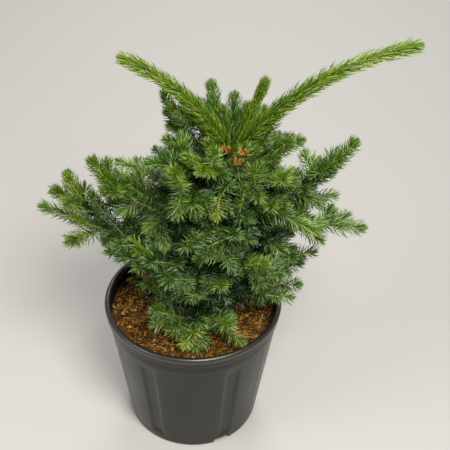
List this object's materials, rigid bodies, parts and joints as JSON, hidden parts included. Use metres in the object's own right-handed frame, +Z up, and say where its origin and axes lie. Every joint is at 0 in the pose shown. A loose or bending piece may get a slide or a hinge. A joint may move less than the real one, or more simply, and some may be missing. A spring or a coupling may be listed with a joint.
{
  "type": "potted colorado blue spruce",
  "caption": "Young, irregular blue spruce with long fresh shoots over an open crown, growing in a round black nursery pot filled with bark medium.",
  "frame": {"origin": "middle of the pot's flat underside", "axes": "+Z up along the pot's axis, -Y towards the front of the plant, +X to its right, the way the longest shoot reaches"},
  "size_m": [0.5422, 0.3497, 0.7037],
  "materials": {
    "pot": "semi-gloss charcoal black",
    "growing_medium": "rough bark chips",
    "bark": "rough grey-brown bark",
    "foliage": "matte green to blue-green needles",
    "new_shoots": "matte fresh yellow-green needles"
  },
  "bodies": {
    "root": {"pot": "pot", "growing_medium": "growing_medium", "trunk": "bark", "bough_left_mid": "bark", "bough_front_upper_left": "bark", "bough_left_low": "bark", "bough_right_mid": "bark", "bough_right_reach": "bark", "bough_front_upper_right": "bark", "bough_right_low": "bark", "bough_front_right_low": "bark", "bough_front_right_mid": "bark", "bough_front_left_mid": "bark", "bough_front_mid": "bark", "bough_front_low": "bark", "bough_front_left_low": "bark", "bough_back_upper_left": "bark", "bough_back_left_low": "bark", "bough_back_right_low": "bark", "bough_back_far_left_low": "bark", "bough_back_low": "bark", "bough_back_right_mid": "bark", "bough_back_mid": "bark", "bough_back_left_mid": "bark", "bough_back_upper": "bark", "foliage_left_mid": "foliage", "foliage_front_upper_left": "foliage", "foliage_left_low": "foliage", "foliage_right_mid": "foliage", "foliage_right_reach": "foliage", "foliage_front_upper_right": "foliage", "foliage_right_low": "foliage", "foliage_front_right_low": "foliage", "foliage_front_right_mid": "foliage", "foliage_front_left_mid": "foliage", "foliage_front_mid": "foliage", "foliage_front_low": "foliage", "foliage_front_left_low": "foliage", "foliage_back_upper_left": "foliage", "foliage_back_left_low": "foliage", "foliage_back_right_low": "foliage", "foliage_back_far_left_low": "foliage", "foliage_back_low": "foliage", "foliage_back_right_mid": "foliage", "foliage_back_mid": "foliage", "foliage_back_left_mid": "foliage", "foliage_back_upper": "foliage", "shoot_long_right": "new_shoots", "shoot_long_left": "new_shoots", "shoot_upright_left": "new_shoots", "shoots_upright_middle": "new_shoots", "shoot_upright_right": "new_shoots", "foliage_upper_right": "foliage", "foliage_upper_right_front": "foliage", "foliage_upper_left": "foliage", "foliage_upper_left_steep": "foliage", "foliage_hanging_front": "foliage", "foliage_upper_front": "foliage", "foliage_upper_back_right": "foliage", "foliage_upper_back_left": "foliage"}
  },
  "joints": []
}
